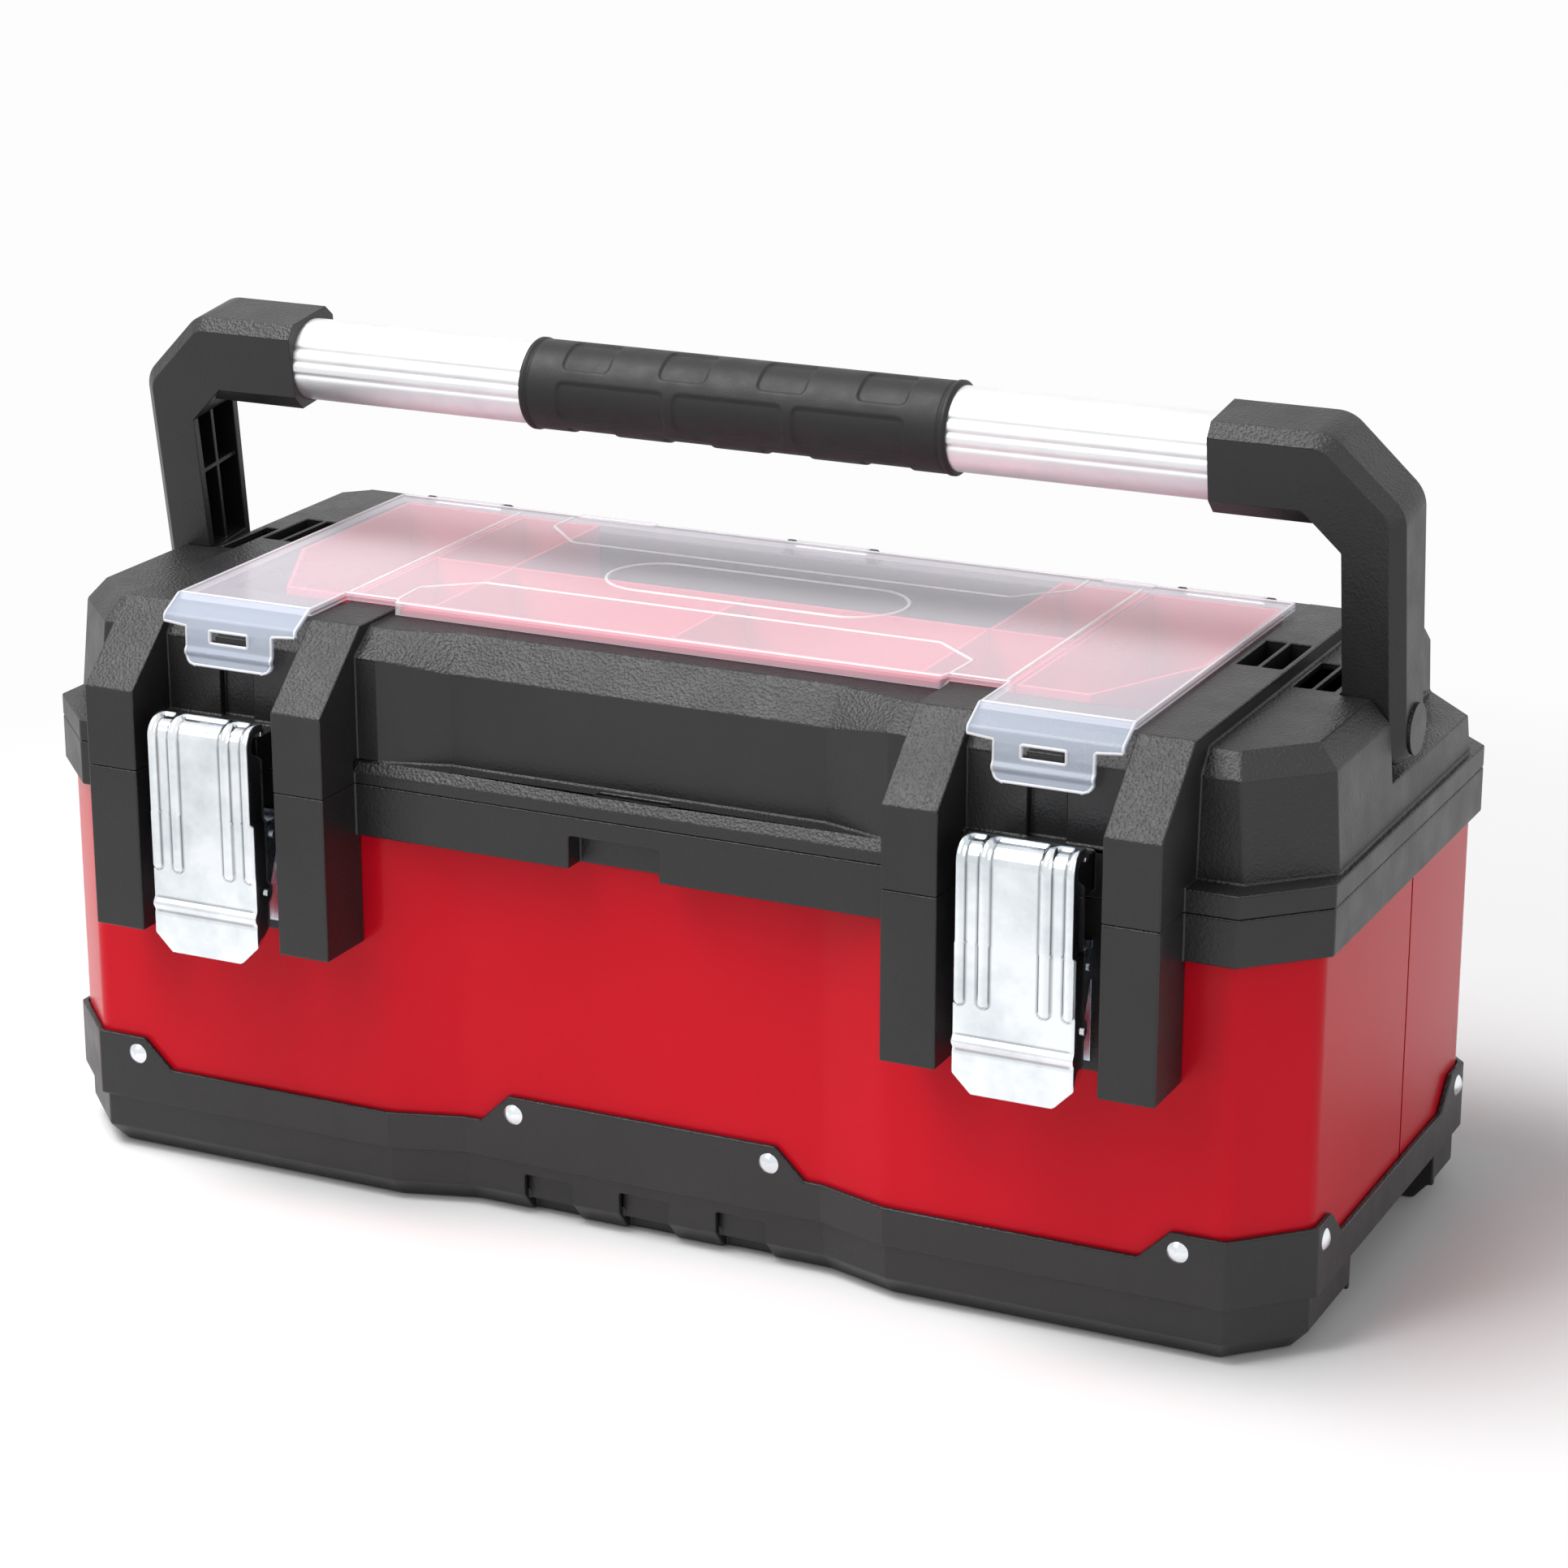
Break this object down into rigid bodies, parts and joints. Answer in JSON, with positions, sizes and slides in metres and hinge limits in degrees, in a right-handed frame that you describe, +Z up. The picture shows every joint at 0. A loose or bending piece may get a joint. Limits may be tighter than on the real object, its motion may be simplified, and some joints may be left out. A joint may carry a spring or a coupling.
{
  "type": "toolbox",
  "caption": "Portable toolbox: steel tub, black plastic base and lid, two steel latches, folding tube handle, parts bins under a clear cover, lift-out tray.",
  "frame": {"origin": "on the resting plane, under the middle of the rim's plan", "axes": "+X to the right, -Y out of the front where the latches are, +Z up"},
  "size_m": [0.561, 0.2873, 0.3447],
  "materials": {
    "black_plastic": "moulded, fine leather grain",
    "red_paint": "glossy baked paint",
    "red_plastic": "smooth",
    "clear_plastic": "clear, slightly milky",
    "bright_steel": "bright nickel plate",
    "zinc_steel": "blue zinc plate",
    "pin_steel": "plain",
    "satin_aluminium": "satin anodised",
    "black_rubber": "soft matte"
  },
  "bodies": {
    "case": {"base_shell": "black_plastic", "base_rivets": "bright_steel", "tub_front_sheet": "red_paint", "tub_rear_sheet": "red_paint", "body_rim": "black_plastic", "lid_hinge_pins": "pin_steel", "latch_bracket_left": "zinc_steel", "latch_bracket_right": "zinc_steel", "latch_bracket_pin_left": "pin_steel", "latch_bracket_pin_right": "pin_steel"},
    "lid": {"lid_shell": "black_plastic", "cover_hinge_pins": "pin_steel", "handle_pivot_pins": "pin_steel", "organiser_bin_left": "red_plastic", "organiser_bin_centre": "red_plastic", "organiser_bin_right": "red_plastic"},
    "cover": {"clear_cover": "clear_plastic"},
    "handle": {"handle_arm_left": "black_plastic", "handle_arm_right": "black_plastic", "handle_tube": "satin_aluminium", "handle_grip": "black_rubber", "pivot_cap_left": "black_plastic", "pivot_cap_right": "black_plastic"},
    "tray": {"tool_tray": "black_plastic", "tray_divider_left": "black_plastic", "tray_divider_right": "black_plastic", "tray_grip": "black_plastic"},
    "latch_left_link": {"latch_link_left": "zinc_steel"},
    "latch_left_lever": {"latch_lever_left": "bright_steel", "latch_lever_pin_left": "pin_steel"},
    "latch_right_link": {"latch_link_right": "zinc_steel"},
    "latch_right_lever": {"latch_lever_right": "bright_steel", "latch_lever_pin_right": "pin_steel"}
  },
  "joints": [
    {"name": "lid_hinge", "type": "hinge", "parent": "case", "child": "lid", "pos_m": [0, 0.1295, 0.1808], "axis": [-1, 0, 0], "range_deg": [0, 105]},
    {"name": "handle_fold", "type": "hinge", "parent": "lid", "child": "handle", "pos_m": [0, 0.0012, 0.2228], "axis": [-1, 0, 0], "range_deg": [0, 70]},
    {"name": "cover_hinge", "type": "hinge", "parent": "lid", "child": "cover", "pos_m": [0, 0.071, 0.2436], "axis": [-1, 0, 0], "range_deg": [0, 70]},
    {"name": "tray_lift", "type": "slide", "parent": "case", "child": "tray", "axis": [0, 0, 1], "range_m": [0, 0.055]},
    {"name": "latch_left_swing", "type": "hinge", "parent": "case", "child": "latch_left_link", "pos_m": [-0.17585, -0.1325, 0.158], "axis": [-1, 0, 0], "range_deg": [0, 100]},
    {"name": "latch_left_flip", "type": "hinge", "parent": "latch_left_link", "child": "latch_left_lever", "pos_m": [-0.17585, -0.141, 0.136], "axis": [1, 0, 0], "range_deg": [0, 140.5]},
    {"name": "latch_right_swing", "type": "hinge", "parent": "case", "child": "latch_right_link", "pos_m": [0.17585, -0.1325, 0.158], "axis": [-1, 0, 0], "range_deg": [0, 100]},
    {"name": "latch_right_flip", "type": "hinge", "parent": "latch_right_link", "child": "latch_right_lever", "pos_m": [0.17585, -0.141, 0.136], "axis": [1, 0, 0], "range_deg": [0, 140.5]}
  ],
  "couplings": [
    {"joint": "cover_hinge", "follows": "handle_fold", "ratio": 1},
    {"joint": "tray_lift", "follows": "lid_hinge", "m_per_rad": 0.03},
    {"joint": "latch_left_flip", "follows": "latch_left_swing", "ratio": 1.4},
    {"joint": "latch_right_flip", "follows": "latch_right_swing", "ratio": 1.4}
  ]
}
